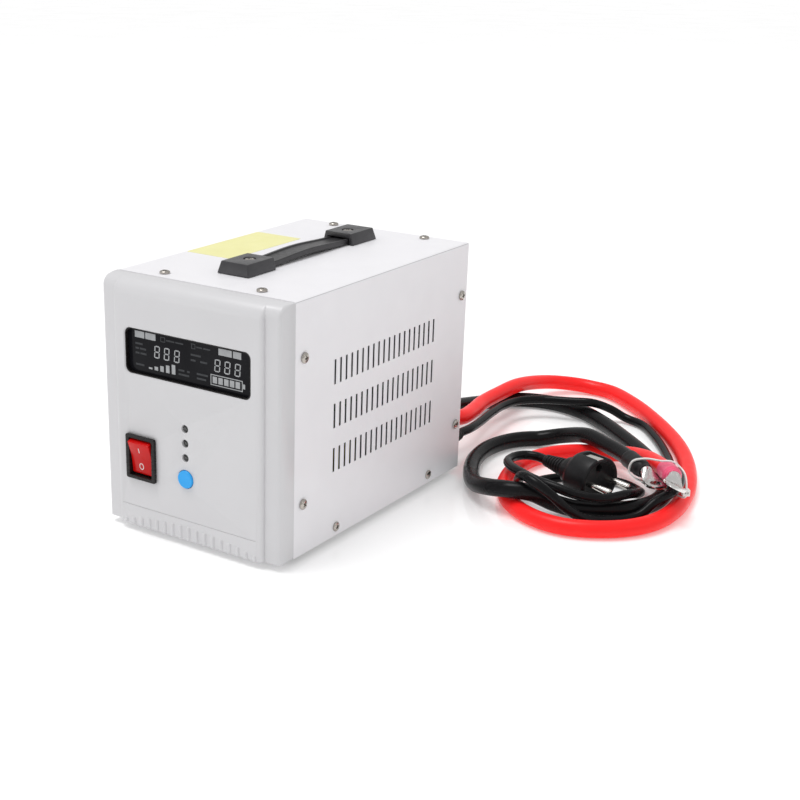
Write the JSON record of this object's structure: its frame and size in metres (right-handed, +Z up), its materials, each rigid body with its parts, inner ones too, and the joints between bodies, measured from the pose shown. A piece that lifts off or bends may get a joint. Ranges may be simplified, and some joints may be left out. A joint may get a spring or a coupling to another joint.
{
  "type": "power inverter",
  "caption": "Small box-shaped power inverter with display, rocker switch, output button, strap handle, rear fan and outlet, battery leads with ring lugs and a mains lead with plug.",
  "frame": {"origin": "middle of the object's footprint on the floor, measured without the leads and what is on them", "axes": "+Z up, the front panel with the display faces -Y, the leads leave the rear panel towards +Y, +X is to the right seen from the front"},
  "size_m": [0.3308, 0.4809, 0.1849],
  "materials": {
    "white_paint": "fine-textured white powder coat",
    "zinc_steel": "zinc-plated sheet",
    "white_plastic": "moulded ABS, satin",
    "smoked_lens": "polished dark acrylic",
    "lcd_glass": "display glass",
    "green_board": "solder-masked glass-fibre board",
    "black_plastic": "moulded, satin",
    "red_rocker": "translucent red, polished",
    "blue_plastic": "moulded, satin",
    "dark_lamp": "clear lamp body, unlit",
    "grey_plastic": "fine-textured",
    "nickel": "nickel plate",
    "rubber": "matte",
    "winding_tape": "steel core and copper winding under yellow polyester tape",
    "aluminium": "extruded",
    "capacitor_sleeve": "shrink sleeve",
    "red_pvc": "smooth flexible PVC",
    "black_pvc": "smooth flexible PVC",
    "tinned_copper": "tin plate",
    "white_nylon": "nylon"
  },
  "bodies": {
    "case": {"top_cover": "white_paint", "rear_panel": "white_paint", "base_pan": "zinc_steel", "front_plate": "zinc_steel", "transformer_washer": "zinc_steel", "transformer_bolt": "zinc_steel", "front_bezel": "white_plastic", "display_window": "smoked_lens", "lcd_module": "lcd_glass", "display_board": "green_board", "power_board": "green_board", "rocker_housing": "black_plastic", "tact_switch": "black_plastic", "fan_frame": "black_plastic", "ac_outlet": "black_plastic", "breaker_body": "black_plastic", "mains_plug": "black_plastic", "lamp_1": "dark_lamp", "lamp_2": "dark_lamp", "lamp_3": "dark_lamp", "handle_cap_front": "grey_plastic", "handle_cap_rear": "grey_plastic", "handle_screw_front": "nickel", "handle_screw_rear": "nickel", "fan_guard": "nickel", "top_screw_1": "nickel", "top_screw_2": "nickel", "top_screw_3": "nickel", "top_screw_4": "nickel", "left_screw_1": "nickel", "left_screw_2": "nickel", "left_screw_3": "nickel", "left_screw_4": "nickel", "right_screw_1": "nickel", "right_screw_2": "nickel", "right_screw_3": "nickel", "right_screw_4": "nickel", "foot_front_left": "rubber", "foot_front_right": "rubber", "foot_rear_left": "rubber", "foot_rear_right": "rubber", "red_grommet": "rubber", "black_grommet": "rubber", "mains_boot": "rubber", "toroidal_transformer": "winding_tape", "heatsink_left": "aluminium", "heatsink_right": "aluminium", "capacitor_1": "capacitor_sleeve", "capacitor_2": "capacitor_sleeve", "red_battery_lead": "red_pvc", "black_battery_lead": "black_pvc", "mains_lead": "black_pvc", "red_lug": "tinned_copper", "black_lug": "tinned_copper", "cable_tie": "white_nylon"},
    "rocker": {"rocker_button": "red_rocker"},
    "output_key": {"output_button": "blue_plastic"},
    "rotor": {"fan_rotor": "black_plastic"},
    "breaker_key": {"breaker_button": "white_plastic"},
    "strap": {"handle_strap": "black_plastic"}
  },
  "joints": [
    {"name": "rocker_rock", "type": "hinge", "parent": "case", "child": "rocker", "pos_m": [-0.0393, -0.12455, 0.0553], "axis": [-1, 0, 0], "range_deg": [0, 24]},
    {"name": "output_press", "type": "slide", "parent": "case", "child": "output_key", "axis": [0, 1, 0], "range_m": [0, 0.0015], "stiffness_N_per_m": 400, "springref_m": -0.001},
    {"name": "fan_spin", "type": "hinge", "parent": "case", "child": "rotor", "pos_m": [-0.024, 0.09375, 0.124], "axis": [0, 1, 0], "continuous": true},
    {"name": "breaker_pop", "type": "slide", "parent": "case", "child": "breaker_key", "axis": [0, 1, 0], "range_m": [0, 0.0035]},
    {"name": "strap_play", "type": "slide", "parent": "case", "child": "strap", "axis": [0, 1, 0], "range_m": [-0.0015, 0.0015]}
  ]
}
